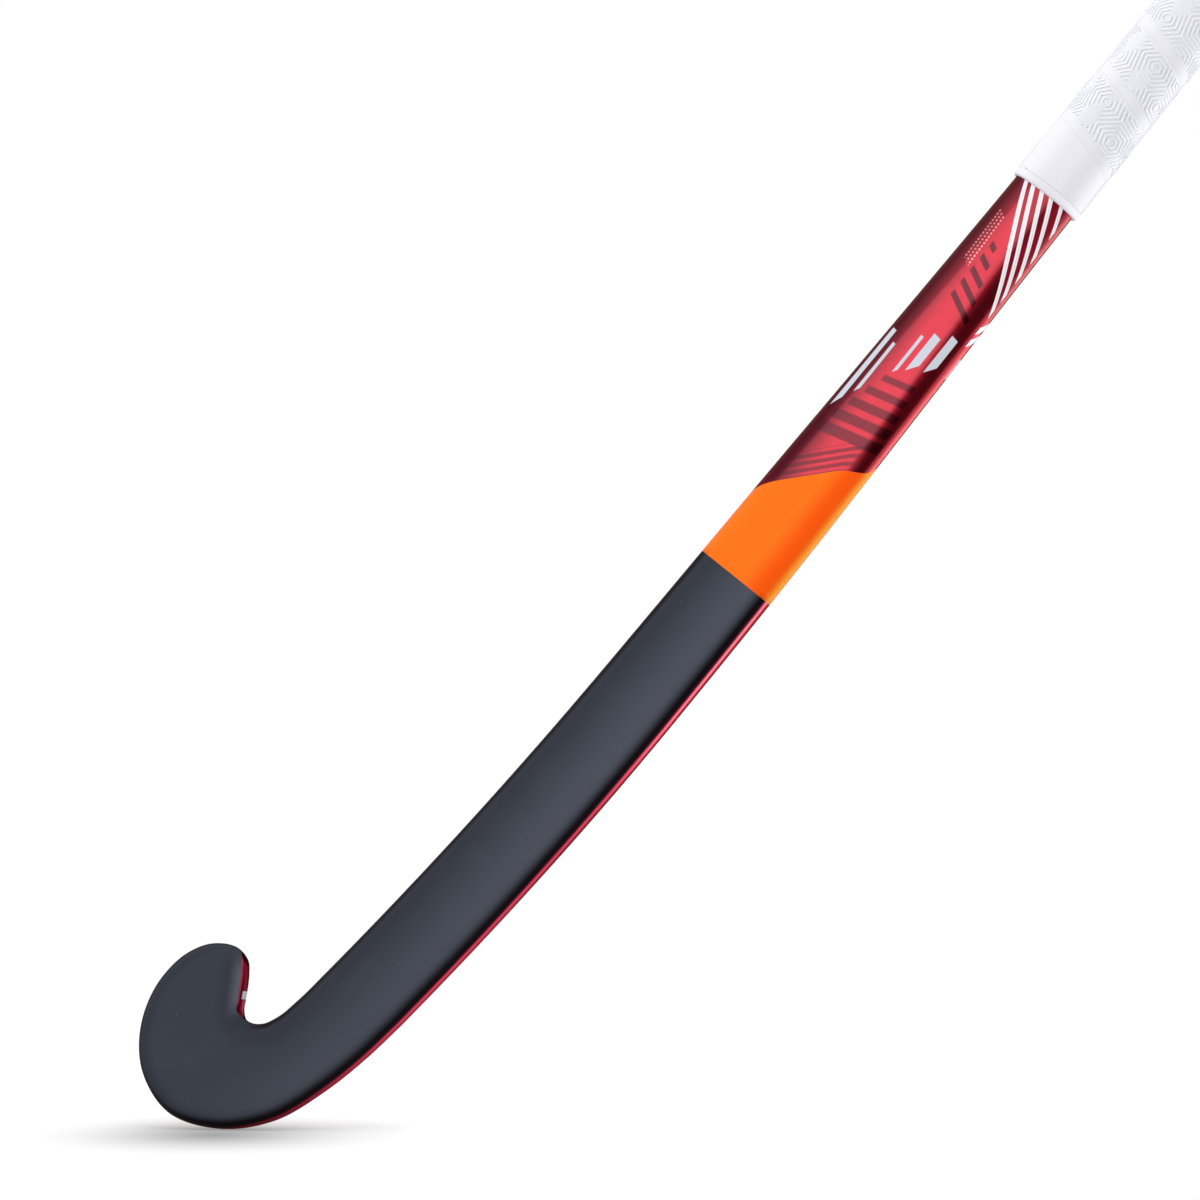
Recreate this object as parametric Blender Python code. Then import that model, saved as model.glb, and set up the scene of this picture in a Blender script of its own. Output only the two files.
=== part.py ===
"""Indoor hockey stick: a hollow laminate stick with a foam-cored hook and a wound hand grip.

Metres, +Z up the handle. The playing face looks to -Y, the heel side is +X and the toe is on -X.
The origin is the middle of the hand grip, on the handle's axis. Heights called h are measured
from the lowest point of the hook.
"""

import math

import bmesh
import bpy
import numpy as np

# Overall sizes
LENGTH = 0.927
GRIP_LENGTH = 0.312
GRIP_CENTRE = LENGTH - GRIP_LENGTH / 2

# Bow: the face is hollow along its length, bent between two heights and straight outside them
BOW = 0.022
BEND_LOW = 0.102
BEND_HIGH = 0.432

# Sweep: the shaft leans to the toe side below this height
SWEEP_START = 0.300
SWEEP_RADIUS = 2.85

# Shaft profile: height, width, depth before and behind the waist, corner, roundness of the back
HOOK_TOP = 0.103
FACE_DEPTH = 0.0075
PROFILE = (
    (HOOK_TOP, 0.0449, FACE_DEPTH, 0.0112, 0.0060, 2.6),
    (0.170, 0.0449, 0.0078, 0.0118, 0.0062, 2.5),
    (0.300, 0.0442, 0.0086, 0.0126, 0.0075, 2.4),
    (0.400, 0.0424, 0.0098, 0.0132, 0.0095, 2.3),
    (0.500, 0.0385, 0.0118, 0.0136, 0.0130, 2.15),
    (0.600, 0.0349, 0.0137, 0.0140, 0.0158, 2.0),
    (0.700, 0.0330, 0.0134, 0.0138, 0.0150, 2.0),
    (0.760, 0.0322, 0.0132, 0.0136, 0.0148, 2.0),
)

# Hook: ribs across it from the outer to the inner edge, each edge point as (x, h)
HOOK_RIBS = (
    ((0.0132, 0.0800), (-0.0312, 0.0800)),
    ((0.0086, 0.0565), (-0.0331, 0.0693)),
    ((-0.0012, 0.0295), (-0.0370, 0.0614)),
    ((-0.0192, 0.0098), (-0.0410, 0.0585)),
    ((-0.0438, 0.0000), (-0.0447, 0.0578)),
    ((-0.0676, 0.0074), (-0.0483, 0.0602)),
    ((-0.0834, 0.0249), (-0.0516, 0.0649)),
    ((-0.0904, 0.0495), (-0.0553, 0.0707)),
    ((-0.0884, 0.0647), (-0.0590, 0.0755)),
    ((-0.0822, 0.0754), (-0.0633, 0.0796)),
)
TOE_TIP = (-0.0713, 0.0814)
TOE_BACK_DEPTH = 0.0092
TIP_ROUND = 0.0070

# Laminate and core. The cavity ends at a share of the way round the hook from its top to its tip
WALL = 0.0025
LEAST_CORNER = 0.0025
CAVITY_END = 0.80
CORE_END = 0.77
CORE_TOP = 0.150
WEB_THICKNESS = 0.0018
WEB_BACK_GAP = 0.0004

# Handle end
CAP_HEIGHT = 0.0050
CAP_SPIGOT = 0.0120
CAP_PROUD = 0.0005
CAP_ROUND = 0.0015
PLUG_LENGTH = 0.0550

# Hand grip
TAPE_THICKNESS = 0.0004
TAPE_LAP = 0.0015
WRAP_THICKNESS = 0.0013
WRAP_PITCH = 0.0300
WRAP_GAP = 0.0005
WRAP_EDGE = 0.0004
WRAP_START_WIDTH = 0.0030
MOST_EDGE_SHARE = 4
BAND_HEIGHT = 0.0045
BAND_UNDERCUT = 0.0002

# Clearance between touching pieces
GAP = 0.0003

# Most of the half width that a front corner may take
MOST_CORNER = 0.94

# Mesh counts
CORNER_STEPS = 5
BACK_STEPS = 13
RING_POINTS = 2 * (CORNER_STEPS + 1) + BACK_STEPS - 1
RIB_STEPS = 3
SHAFT_STEP = 0.024
CAVITY_STEP = 0.040
CAP_ROUND_STEPS = 3

# Heights that several pieces share
SHELL_TOP = LENGTH - CAP_HEIGHT - GAP
GRIP_BOTTOM = LENGTH - GRIP_LENGTH
WRAP_BOTTOM = GRIP_BOTTOM + BAND_HEIGHT + GAP
PLUG_TOP = SHELL_TOP - CAP_SPIGOT - GAP
PLUG_BOTTOM = PLUG_TOP - PLUG_LENGTH
TAPE_OUTSIDE = GAP + TAPE_THICKNESS
WRAP_INSIDE = TAPE_OUTSIDE + GAP
WRAP_OUTSIDE = WRAP_INSIDE + WRAP_THICKNESS


def clear_scene():
    for obj in list(bpy.data.objects):
        bpy.data.objects.remove(obj, do_unlink=True)


def hermite(before, start, end, after, knots, share):
    """Point on a smooth curve between start and end, whose slopes come from their neighbours."""
    k0, k1, k2, k3 = knots
    span, span_before, span_after = k2 - k1, k1 - k0, k3 - k2
    chord = (end - start) / span
    slope_in = slope_out = chord
    if span_before:
        slope_in = ((start - before) / span_before * span + chord * span_before) / (k2 - k0)
    if span_after:
        slope_out = (chord * span_after + (after - end) / span_after * span) / (k3 - k1)
    u = share
    return (
        (2 * u**3 - 3 * u**2 + 1) * start
        + (u**3 - 2 * u**2 + u) * span * slope_in
        + (3 * u**2 - 2 * u**3) * end
        + (u**3 - u**2) * span * slope_out
    )


def span_of(values, knots, index, share):
    """The smooth curve through values at knots, at a share of the span that starts at index."""
    last = len(values) - 1
    near = [max(index - 1, 0), index, index + 1, min(index + 2, last)]
    return hermite(*(values[i] for i in near), [knots[i] for i in near], share)


def bend_rate():
    """Curvature of the bend that gives the wanted bow between the hook's base and the handle's end."""
    lean = (BEND_HIGH**2 - BEND_LOW**2) / 2
    deepest = BEND_HIGH - lean / LENGTH
    return BOW / (lean * (1 - deepest / LENGTH) - (BEND_HIGH - deepest) ** 2 / 2)


def bow(h):
    """How far the stick's middle line lies in front of the handle's axis at a height, as a -Y value."""
    bent = min(max(h, BEND_LOW), BEND_HIGH)
    rate = bend_rate()
    straight = max(BEND_LOW - h, 0) * (BEND_HIGH - BEND_LOW)
    return -rate * ((BEND_HIGH - bent) ** 2 / 2 + straight)


def sweep(h):
    return -max(SWEEP_START - h, 0) ** 2 / (2 * SWEEP_RADIUS)


def shape_at(h):
    """Width, front depth, back depth, corner and roundness of the shaft at a height."""
    heights = [row[0] for row in PROFILE]
    rows = [np.array(row[1:]) for row in PROFILE]
    if h >= heights[-1]:
        return rows[-1]
    index = max(i for i, height in enumerate(heights) if height <= max(h, heights[0]))
    share = (max(h, heights[0]) - heights[index]) / (heights[index + 1] - heights[index])
    return span_of(rows, heights, index, share)


def section(width, front, behind, corner, roundness):
    """Ring of (across, y) points: two front corners joined by a flat face, and a rounded back."""
    half = width / 2
    corner = min(corner, half * MOST_CORNER)
    flat = half - corner
    ring = []
    for side in (-1, 1):
        for step in range(CORNER_STEPS + 1):
            turn = step if side < 0 else CORNER_STEPS - step
            angle = math.pi / 2 * turn / CORNER_STEPS
            ring.append((side * (flat + corner * math.cos(angle)), -front * math.sin(angle)))
    for step in range(1, BACK_STEPS):
        angle = math.pi * step / BACK_STEPS
        across, back = math.cos(angle), math.sin(angle)
        power = 2 / roundness
        ring.append((math.copysign(half * abs(across) ** power, across), behind * back**power))
    return ring


def place(x, h, y):
    return (x, y + bow(h), h - GRIP_CENTRE)


def shaft_ring(h, offset=0.0):
    """Ring of the shaft or handle at a height, grown by an offset or shrunk by a negative one."""
    width, front, behind, corner, roundness = shape_at(h)
    corner = max(corner + offset, LEAST_CORNER)
    ring = section(width + 2 * offset, front + offset, behind + offset, corner, roundness)
    return [place(sweep(h) + across, h, y) for across, y in ring]


def hook_edges():
    """Matching points along the hook's outer and inner edge, from the hook's top to the toe's tip."""
    width = PROFILE[0][1]
    top = ((sweep(HOOK_TOP) + width / 2, HOOK_TOP), (sweep(HOOK_TOP) - width / 2, HOOK_TOP))
    ribs = (top,) + HOOK_RIBS
    chain = [np.array(rib[0]) for rib in ribs] + [np.array(TOE_TIP)]
    chain += [np.array(rib[1]) for rib in reversed(ribs)]
    knots = [0.0]
    for start, end in zip(chain, chain[1:]):
        knots.append(knots[-1] + float(np.linalg.norm(end - start)))
    line = [
        span_of(chain, knots, index, step / RIB_STEPS)
        for index in range(len(chain) - 1)
        for step in range(RIB_STEPS)
    ]
    line.append(chain[-1])
    half = len(line) // 2
    return [(line[i], line[-1 - i]) for i in range(half)]


def rib_ring(outer, inner, share, inset=0.0):
    """Ring across the hook between two edge points. share runs from 0 at the hook's top to 1 at the tip."""
    middle, across = (outer + inner) / 2, outer - inner
    width = float(np.linalg.norm(across))
    across = across / width
    from_tip = float(np.linalg.norm(middle - np.array(TOE_TIP)))
    dome = math.sqrt(1 - (1 - min(from_tip / TIP_ROUND, 1)) ** 2)
    ease = share * share * (3 - 2 * share)
    _, _, _, behind, corner, roundness = PROFILE[0]
    behind = behind + (TOE_BACK_DEPTH - behind) * ease
    ring = section(
        width - 2 * inset,
        (FACE_DEPTH - inset) * dome,
        (behind - inset) * dome,
        max(corner - inset, LEAST_CORNER),
        roundness,
    )
    return [place(*(middle + across * side), y) for side, y in ring]


def hook_rings(inset=0.0, stop=1.0):
    """Rings round the hook, up to a share of the way to the tip."""
    edges = hook_edges()
    last = len(edges) - 1
    kept = edges[1 : round(stop * last) + 1]
    return [rib_ring(outer, inner, (i + 1) / last, inset) for i, (outer, inner) in enumerate(kept)]


def heights_between(low, high, step):
    count = max(math.ceil((high - low) / step), 1)
    return [low + (high - low) * i / count for i in range(count + 1)]


def finish(name, mesh_maker, material):
    """Object from a bmesh that holds one closed skin."""
    bmesh.ops.recalc_face_normals(mesh_maker, faces=mesh_maker.faces)
    mesh = bpy.data.meshes.new(name)
    mesh_maker.to_mesh(mesh)
    mesh_maker.free()
    mesh.shade_smooth()
    mesh.set_sharp_from_angle(angle=math.radians(40))
    mesh.materials.append(material)
    obj = bpy.data.objects.new(name, mesh)
    PARTS.objects.link(obj)
    return obj


def loft(name, rings, material, point=None):
    """Skin over rings of matching points, closed at the first ring and at the last, or at a point."""
    maker = bmesh.new()
    rows = [[maker.verts.new(co) for co in ring] for ring in rings]
    count = len(rows[0])
    for lower, upper in zip(rows, rows[1:]):
        for i in range(count):
            j = (i + 1) % count
            maker.faces.new((lower[i], lower[j], upper[j], upper[i]))
    maker.faces.new(rows[0])
    if point is None:
        maker.faces.new(rows[-1])
    else:
        tip = maker.verts.new(point)
        for i in range(count):
            maker.faces.new((rows[-1][i], rows[-1][(i + 1) % count], tip))
    return finish(name, maker, material)


def paint(name, colour, roughness, metallic=0.0):
    material = bpy.data.materials.new(name)
    material.use_nodes = True
    shader = material.node_tree.nodes["Principled BSDF"]
    shader.inputs["Base Color"].default_value = (*colour, 1)
    shader.inputs["Roughness"].default_value = roughness
    shader.inputs["Metallic"].default_value = metallic
    return material


def composite_shell():
    """Laminate skin of hook, shaft and handle, hollow from the toe to the handle's open end."""
    cavity = list(reversed(hook_rings(WALL, CAVITY_END)))
    cavity += [shaft_ring(h, -WALL) for h in heights_between(HOOK_TOP, SHELL_TOP, CAVITY_STEP)]
    outside = [shaft_ring(h) for h in reversed(heights_between(HOOK_TOP, SHELL_TOP, SHAFT_STEP))]
    outside += hook_rings()
    tip = place(*TOE_TIP, 0.0)
    lacquer = paint("painted_laminate", (0.62, 0.03, 0.06), 0.3, 0.5)
    return loft("composite_shell", cavity + outside, lacquer, tip)


def head_core():
    """Foam that fills the hook, from near the toe to a flat end in the shaft."""
    inset = WALL + GAP
    rings = list(reversed(hook_rings(inset, CORE_END)))
    rings += [shaft_ring(h, -inset) for h in heights_between(HOOK_TOP, CORE_TOP, CAVITY_STEP)]
    return loft("head_core", rings, paint("core_foam", (0.75, 0.68, 0.45), 0.9))


def inner_web():
    """Stiffening strip between the face wall and the back wall, from the foam to the plug."""
    rings = []
    for h in heights_between(CORE_TOP + GAP, PLUG_BOTTOM - GAP, CAVITY_STEP):
        _, front, behind, _, _ = shape_at(h)
        low, high = -(front - WALL - GAP), behind - WALL - WEB_BACK_GAP
        side = WEB_THICKNESS / 2
        corners = ((-side, low), (side, low), (side, high), (-side, high))
        rings.append([place(sweep(h) + x, h, y) for x, y in corners])
    return loft("inner_web", rings, paint("web_laminate", (0.05, 0.05, 0.055), 0.5))


def handle_plug():
    """Foam block in the open end of the handle, below the cap's spigot."""
    rings = [shaft_ring(h, -WALL - GAP) for h in heights_between(PLUG_BOTTOM, PLUG_TOP, CAVITY_STEP)]
    return loft("handle_plug", rings, paint("plug_foam", (0.82, 0.78, 0.66), 0.9))


def butt_cap():
    """Moulded cap: a spigot in the handle and a flange over the end of shell, tape and wrap."""
    rim = WRAP_OUTSIDE + CAP_PROUD
    spigot = -WALL - GAP
    under = SHELL_TOP + GAP
    rings = [
        shaft_ring(SHELL_TOP - CAP_SPIGOT, spigot),
        shaft_ring(under, spigot),
        shaft_ring(under, rim),
    ]
    for step in range(CAP_ROUND_STEPS + 1):
        angle = math.pi / 2 * step / CAP_ROUND_STEPS
        drop, draw_in = CAP_ROUND * (1 - math.sin(angle)), CAP_ROUND * (1 - math.cos(angle))
        rings.append(shaft_ring(LENGTH - drop, rim - draw_in))
    return loft("butt_cap", rings, paint("cap_rubber", (0.03, 0.03, 0.032), 0.6))


def sleeve(name, low, high, inside, outside, step, material):
    """Thin tube round the handle."""
    maker = bmesh.new()
    heights = heights_between(low, high, step)
    skins = [[shaft_ring(h, offset) for h in heights] for offset in (inside, outside)]
    rings = skins[0] + list(reversed(skins[1]))
    rows = [[maker.verts.new(co) for co in ring] for ring in rings]
    count = len(rows[0])
    for lower, upper in zip(rows, rows[1:] + rows[:1]):
        for i in range(count):
            j = (i + 1) % count
            maker.faces.new((lower[i], lower[j], upper[j], upper[i]))
    return finish(name, maker, material)


def grip_tape():
    """Double-sided tape on the handle that holds the wrap."""
    low = WRAP_BOTTOM + TAPE_LAP
    paper = paint("tape_backing", (0.7, 0.68, 0.6), 0.7)
    return sleeve("grip_tape", low, SHELL_TOP, GAP, TAPE_OUTSIDE, CAVITY_STEP, paper)


def finishing_band():
    """Soft band round the handle that closes the wrap's lower end."""
    outside = WRAP_OUTSIDE - BAND_UNDERCUT
    top = GRIP_BOTTOM + BAND_HEIGHT
    white = paint("band_rubber", (0.86, 0.86, 0.88), 0.5)
    return sleeve("finishing_band", GRIP_BOTTOM, top, GAP, outside, BAND_HEIGHT, white)


def wrap_stations():
    """For each step round the handle: ring index, lower edge and upper edge of the wrap's ribbon.

    It starts on the toe side, which is the ring's first point, and goes round by the back.
    """
    width = WRAP_PITCH - WRAP_GAP
    rise = WRAP_PITCH / RING_POINTS
    upper = WRAP_BOTTOM + WRAP_START_WIDTH
    step = 0
    stations = []
    while upper - width < SHELL_TOP - WRAP_START_WIDTH:
        index = -step % RING_POINTS
        stations.append((index, max(upper - width, WRAP_BOTTOM), min(upper, SHELL_TOP)))
        upper += rise
        step += 1
    return stations


def grip_wrap():
    """One ribbon wound up the handle, rising to the toe side across the face, with level ends."""
    rings = []
    for index, low, high in wrap_stations():
        edge = min(WRAP_EDGE, (high - low) / MOST_EDGE_SHARE)
        corners = (
            (low, WRAP_INSIDE),
            (high, WRAP_INSIDE),
            (high, WRAP_OUTSIDE - edge),
            (high - edge, WRAP_OUTSIDE),
            (low + edge, WRAP_OUTSIDE),
            (low, WRAP_OUTSIDE - edge),
        )
        rings.append([shaft_ring(h, offset)[index] for h, offset in corners])
    least = least_gap(np.array(rings))
    print(f"grip_wrap: {len(rings) / RING_POINTS:.1f} turns, least gap to itself {least * 1000:.2f} mm")
    return loft("grip_wrap", rings, paint("wrap_white", (0.86, 0.86, 0.88), 0.6))


def least_gap(rings):
    """Smallest distance between points of the ribbon that are at least half a turn apart along it."""
    apart = RING_POINTS // 2
    least = 1.0
    for i in range(len(rings) - apart):
        later = rings[i + apart :].reshape(-1, 3)
        spread = np.linalg.norm(later[None] - rings[i][:, None], axis=2)
        least = min(least, float(spread.min()))
    return least


clear_scene()
PARTS = bpy.data.collections.new("indoor_hockey_stick")
bpy.context.scene.collection.children.link(PARTS)
composite_shell()
head_core()
inner_web()
handle_plug()
butt_cap()
grip_tape()
finishing_band()
grip_wrap()
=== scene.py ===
"""Indoor hockey stick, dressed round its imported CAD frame.

The file is laid out as an add-on: one operator for each group of pieces and one for the studio.
Metres, +Z up the handle, the playing face looks to -Y, the heel side is +X and the toe is on -X.
Heights called h are measured from the lowest point of the hook, as in the part's source.
Shader values called s and v are millimetres on the stick's own surface: s runs round it from the
middle of the playing face towards the heel side, and v runs along it and equals h on the shaft.
"""

import math
from functools import partialmethod

import bmesh
import bpy
import numpy as np
from mathutils import Matrix, Vector


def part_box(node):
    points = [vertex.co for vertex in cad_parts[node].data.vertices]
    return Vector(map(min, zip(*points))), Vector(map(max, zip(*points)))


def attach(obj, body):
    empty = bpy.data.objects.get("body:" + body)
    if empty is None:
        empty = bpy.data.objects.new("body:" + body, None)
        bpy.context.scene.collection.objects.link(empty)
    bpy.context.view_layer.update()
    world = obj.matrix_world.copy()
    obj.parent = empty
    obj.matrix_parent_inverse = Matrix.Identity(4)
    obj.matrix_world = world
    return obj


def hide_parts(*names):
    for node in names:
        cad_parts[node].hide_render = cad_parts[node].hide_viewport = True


bl_info = {
    "name": "Indoor Hockey Stick",
    "version": (1, 0, 0),
    "blender": (4, 5, 0),
    "location": "3D View > Sidebar > Hockey Stick",
    "description": "Dresses the CAD frame of an indoor hockey stick",
    "category": "Add Mesh",
}

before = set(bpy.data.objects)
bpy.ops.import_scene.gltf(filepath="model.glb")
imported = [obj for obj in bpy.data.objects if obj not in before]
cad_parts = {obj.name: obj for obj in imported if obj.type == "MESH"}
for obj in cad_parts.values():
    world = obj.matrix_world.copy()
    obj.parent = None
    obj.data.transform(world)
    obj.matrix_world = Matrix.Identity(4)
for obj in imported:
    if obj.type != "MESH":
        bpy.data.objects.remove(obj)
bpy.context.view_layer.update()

# Sizes of the stick, the same as in the part's source
LENGTH = 0.927
BOW = 0.022
BEND_LOW = 0.102
BEND_HIGH = 0.432
SWEEP_START = 0.300
SWEEP_RADIUS = 2.85
HOOK_TOP = 0.103
FACE_DEPTH = 0.0075
PROFILE = (
    (HOOK_TOP, 0.0449, FACE_DEPTH, 0.0112, 0.0060, 2.6),
    (0.170, 0.0449, 0.0078, 0.0118, 0.0062, 2.5),
    (0.300, 0.0442, 0.0086, 0.0126, 0.0075, 2.4),
    (0.400, 0.0424, 0.0098, 0.0132, 0.0095, 2.3),
    (0.500, 0.0385, 0.0118, 0.0136, 0.0130, 2.15),
    (0.600, 0.0349, 0.0137, 0.0140, 0.0158, 2.0),
    (0.700, 0.0330, 0.0134, 0.0138, 0.0150, 2.0),
    (0.760, 0.0322, 0.0132, 0.0136, 0.0148, 2.0),
)
HOOK_RIBS = (
    ((0.0132, 0.0800), (-0.0312, 0.0800)),
    ((0.0086, 0.0565), (-0.0331, 0.0693)),
    ((-0.0012, 0.0295), (-0.0370, 0.0614)),
    ((-0.0192, 0.0098), (-0.0410, 0.0585)),
    ((-0.0438, 0.0000), (-0.0447, 0.0578)),
    ((-0.0676, 0.0074), (-0.0483, 0.0602)),
    ((-0.0834, 0.0249), (-0.0516, 0.0649)),
    ((-0.0904, 0.0495), (-0.0553, 0.0707)),
    ((-0.0884, 0.0647), (-0.0590, 0.0755)),
    ((-0.0822, 0.0754), (-0.0633, 0.0796)),
)
TOE_TIP = (-0.0713, 0.0814)
TOE_BACK_DEPTH = 0.0092
TIP_ROUND = 0.0070
WALL = 0.0025
LEAST_CORNER = 0.0025
MOST_CORNER = 0.94
CAVITY_END = 0.80
CAP_HEIGHT = 0.0050
CAP_SPIGOT = 0.0120
CAP_PROUD = 0.0005
GAP = 0.0003
GRIP_BOTTOM = 0.615
BAND_HEIGHT = 0.0045
BAND_UNDERCUT = 0.0002
BAND_INSIDE = 0.00005
BAND_TOP_EDGE = 0.0001
BAND_LOW_EDGE = 0.0014
WRAP_INSIDE = 0.0010
WRAP_OUTSIDE = 0.0023
WRAP_BOTTOM = GRIP_BOTTOM + BAND_HEIGHT + 0.00003
SHELL_TOP = LENGTH - CAP_HEIGHT - GAP
BASE_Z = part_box("butt_cap")[1].z - LENGTH

# Mesh counts: steps round a corner, across the flat face and round the back
SKIN_STEPS = (14, 10, 46)
HANDLE_STEPS = (14, 2, 46)
RIB_STEPS = 10
SHAFT_STEP = 0.004

SURFACE_MAP = "surface"
WINDING_MAP = "winding"
MM = 1000.0


class StickColours(bpy.types.PropertyGroup):
    """Colours of the lacquer, the print and the grip."""

    def colour(name, description, default):
        return bpy.props.FloatVectorProperty(
            name=name, description=description, default=default, subtype="COLOR", min=0, max=1
        )

    lacquer: colour("Lacquer", "Red metallic lacquer of shaft and back", (0.47, 0.018, 0.036))
    # Darker red for the lacquer's flakes, and for the painted shade on the toe side and on the sides of hook
    # and blade
    flake_and_shade_red: colour("Deep lacquer", "Dark end of the lacquer's fade", (0.080, 0.003, 0.012))
    charcoal: colour("Charcoal", "Matte playing face", (0.043, 0.055, 0.071))
    panel: colour("Panel", "Bright panel across the shaft", (1.0, 0.190, 0.012))
    print_white: colour("White print", "Diagonal stripes", (0.90, 0.89, 0.92))
    print_silver: colour("Silver print", "Slashes on the shaft", (0.62, 0.66, 0.74))
    tonal: colour("Tonal print", "Dark bars on the lacquer", (0.070, 0.005, 0.013))
    grip: colour("Grip", "Cover of the wound grip", (0.81, 0.81, 0.86))
    rubber: colour("Rubber", "Butt cap", (0.020, 0.020, 0.022))


class StickSizes(bpy.types.PropertyGroup):
    """Sizes that the CAD frame leaves open."""

    def length(name, description, default):
        return bpy.props.FloatProperty(
            name=name, description=description, default=default, min=0, subtype="DISTANCE", unit="LENGTH"
        )

    pitch: length("Winding pitch", "Rise of the grip's ribbon in one turn", 0.0300)
    seam: length("Seam", "Open seam between two turns of the ribbon", 0.00002)
    edge: length("Ribbon edge", "Radius of the ribbon's outer edges", 0.00012)
    cell: length("Cell", "Corner radius of one embossed hexagon cell", 0.0115)
    ridge: length("Ridge", "Half width of an embossed ridge", 0.00045)
    band_low: length("Pattern start", "Lower border of the embossed band on the ribbon", 0.0046)
    band_high: length("Pattern end", "Upper border of the embossed band on the ribbon", 0.0278)


class StageSettings(bpy.types.PropertyGroup):
    """Camera, lamps and floor."""

    lens: bpy.props.FloatProperty(
        name="Lens", description="Focal length on a 36 mm sensor", default=146.9, min=1, subtype="NONE"
    )
    roll: bpy.props.FloatProperty(
        name="Roll",
        description="Tilt of the picture",
        default=math.radians(39),
        subtype="ANGLE",
        unit="ROTATION",
    )
    fill: bpy.props.FloatProperty(
        name="Fill", description="Strength of the world's light on the stick", default=0.74, min=0
    )


# Shape of the stick
def span_of(values, knots, index, share):
    """The smooth curve through values at knots, at a share of the span that starts at index."""
    near = (max(index - 1, 0), index, index + 1, min(index + 2, len(values) - 1))
    before, start, end, after = (values[i] for i in near)
    k0, k1, k2, k3 = (knots[i] for i in near)
    span, span_before, span_after = k2 - k1, k1 - k0, k3 - k2
    chord = (end - start) / span
    slope_in = slope_out = chord
    if span_before:
        slope_in = ((start - before) / span_before * span + chord * span_before) / (k2 - k0)
    if span_after:
        slope_out = (chord * span_after + (after - end) / span_after * span) / (k3 - k1)
    u = share
    return (
        (2 * u**3 - 3 * u**2 + 1) * start
        + (u**3 - 2 * u**2 + u) * span * slope_in
        + (3 * u**2 - 2 * u**3) * end
        + (u**3 - u**2) * span * slope_out
    )


def bend_rate():
    """Curvature of the bend that gives the wanted bow."""
    lean = (BEND_HIGH**2 - BEND_LOW**2) / 2
    deepest = BEND_HIGH - lean / LENGTH
    return BOW / (lean * (1 - deepest / LENGTH) - (BEND_HIGH - deepest) ** 2 / 2)


def bow(h):
    bent = min(max(h, BEND_LOW), BEND_HIGH)
    straight = max(BEND_LOW - h, 0) * (BEND_HIGH - BEND_LOW)
    return -bend_rate() * ((BEND_HIGH - bent) ** 2 / 2 + straight)


def sweep(h):
    return -max(SWEEP_START - h, 0) ** 2 / (2 * SWEEP_RADIUS)


def shape_at(h):
    """Width, front depth, back depth, corner and roundness of the shaft at a height."""
    heights = [row[0] for row in PROFILE]
    rows = [np.array(row[1:]) for row in PROFILE]
    if h >= heights[-1]:
        return rows[-1]
    index = max(i for i, height in enumerate(heights) if height <= max(h, heights[0]))
    share = (max(h, heights[0]) - heights[index]) / (heights[index + 1] - heights[index])
    return span_of(rows, heights, index, share)


def section(width, front, behind, corner, roundness, steps):
    """Ring of (across, y) points from the toe side's waist over the flat face and round the back."""
    corner_steps, flat_steps, back_steps = steps
    half = width / 2
    corner = min(corner, half * MOST_CORNER)
    flat = half - corner
    turn = np.linspace(0, math.pi / 2, corner_steps + 1)
    toe = np.stack([-flat - corner * np.cos(turn), -front * np.sin(turn)], axis=1)
    inner = np.linspace(-flat, flat, flat_steps + 1)[1:-1]
    face = np.stack([inner, np.full(len(inner), -front)], axis=1)
    heel = toe[::-1] * (-1, 1)
    angle = np.linspace(0, math.pi, back_steps + 1)[1:-1]
    across, back = np.cos(angle), np.sin(angle)
    power = 2 / roundness
    spine = np.stack([np.sign(across) * half * np.abs(across) ** power, behind * back**power], axis=1)
    return np.vstack([toe, face, heel, spine])


class Hoop:
    """One ring of a skin, with its place on the surface map."""

    def __init__(self, flat_ring, points, along, steps):
        self.points = points
        self.along = along
        closed = np.vstack([flat_ring, flat_ring[:1]])
        walked = np.concatenate([[0], np.cumsum(np.linalg.norm(np.diff(closed, axis=0), axis=1))])
        corner_steps, flat_steps, back_steps = steps
        middle = corner_steps + flat_steps // 2
        self.girth = walked[-1]
        self.around = walked - walked[middle]
        self.back = 2 * corner_steps + flat_steps + back_steps // 2
        edge = corner_steps // 2
        toe_edge = -self.around[edge]
        heel_edge = self.around[2 * corner_steps + flat_steps - edge]
        near = np.minimum(np.abs(self.around[:-1]), self.girth - np.abs(self.around[:-1]))
        self.rim = near - np.where(self.around[:-1] < 0, toe_edge, heel_edge)

    def spot(self, index, past_back=False):
        """Place on the surface map, which has its seam down the middle of the back."""
        return self.around[index] - self.girth * past_back, self.along


def place(x, h, y):
    return (x, y + bow(h), h + BASE_Z)


def shaft_hoop(h, offset=0.0, steps=SKIN_STEPS):
    """Ring of the shaft or handle at a height, grown by an offset or shrunk by a negative one."""
    width, front, behind, corner, roundness = shape_at(h)
    corner = max(corner + offset, LEAST_CORNER)
    ring = section(width + 2 * offset, front + offset, behind + offset, corner, roundness, steps)
    points = np.column_stack([ring[:, 0] + sweep(h), ring[:, 1] + bow(h), np.full(len(ring), h + BASE_Z)])
    return Hoop(ring, points, h, steps)


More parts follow.
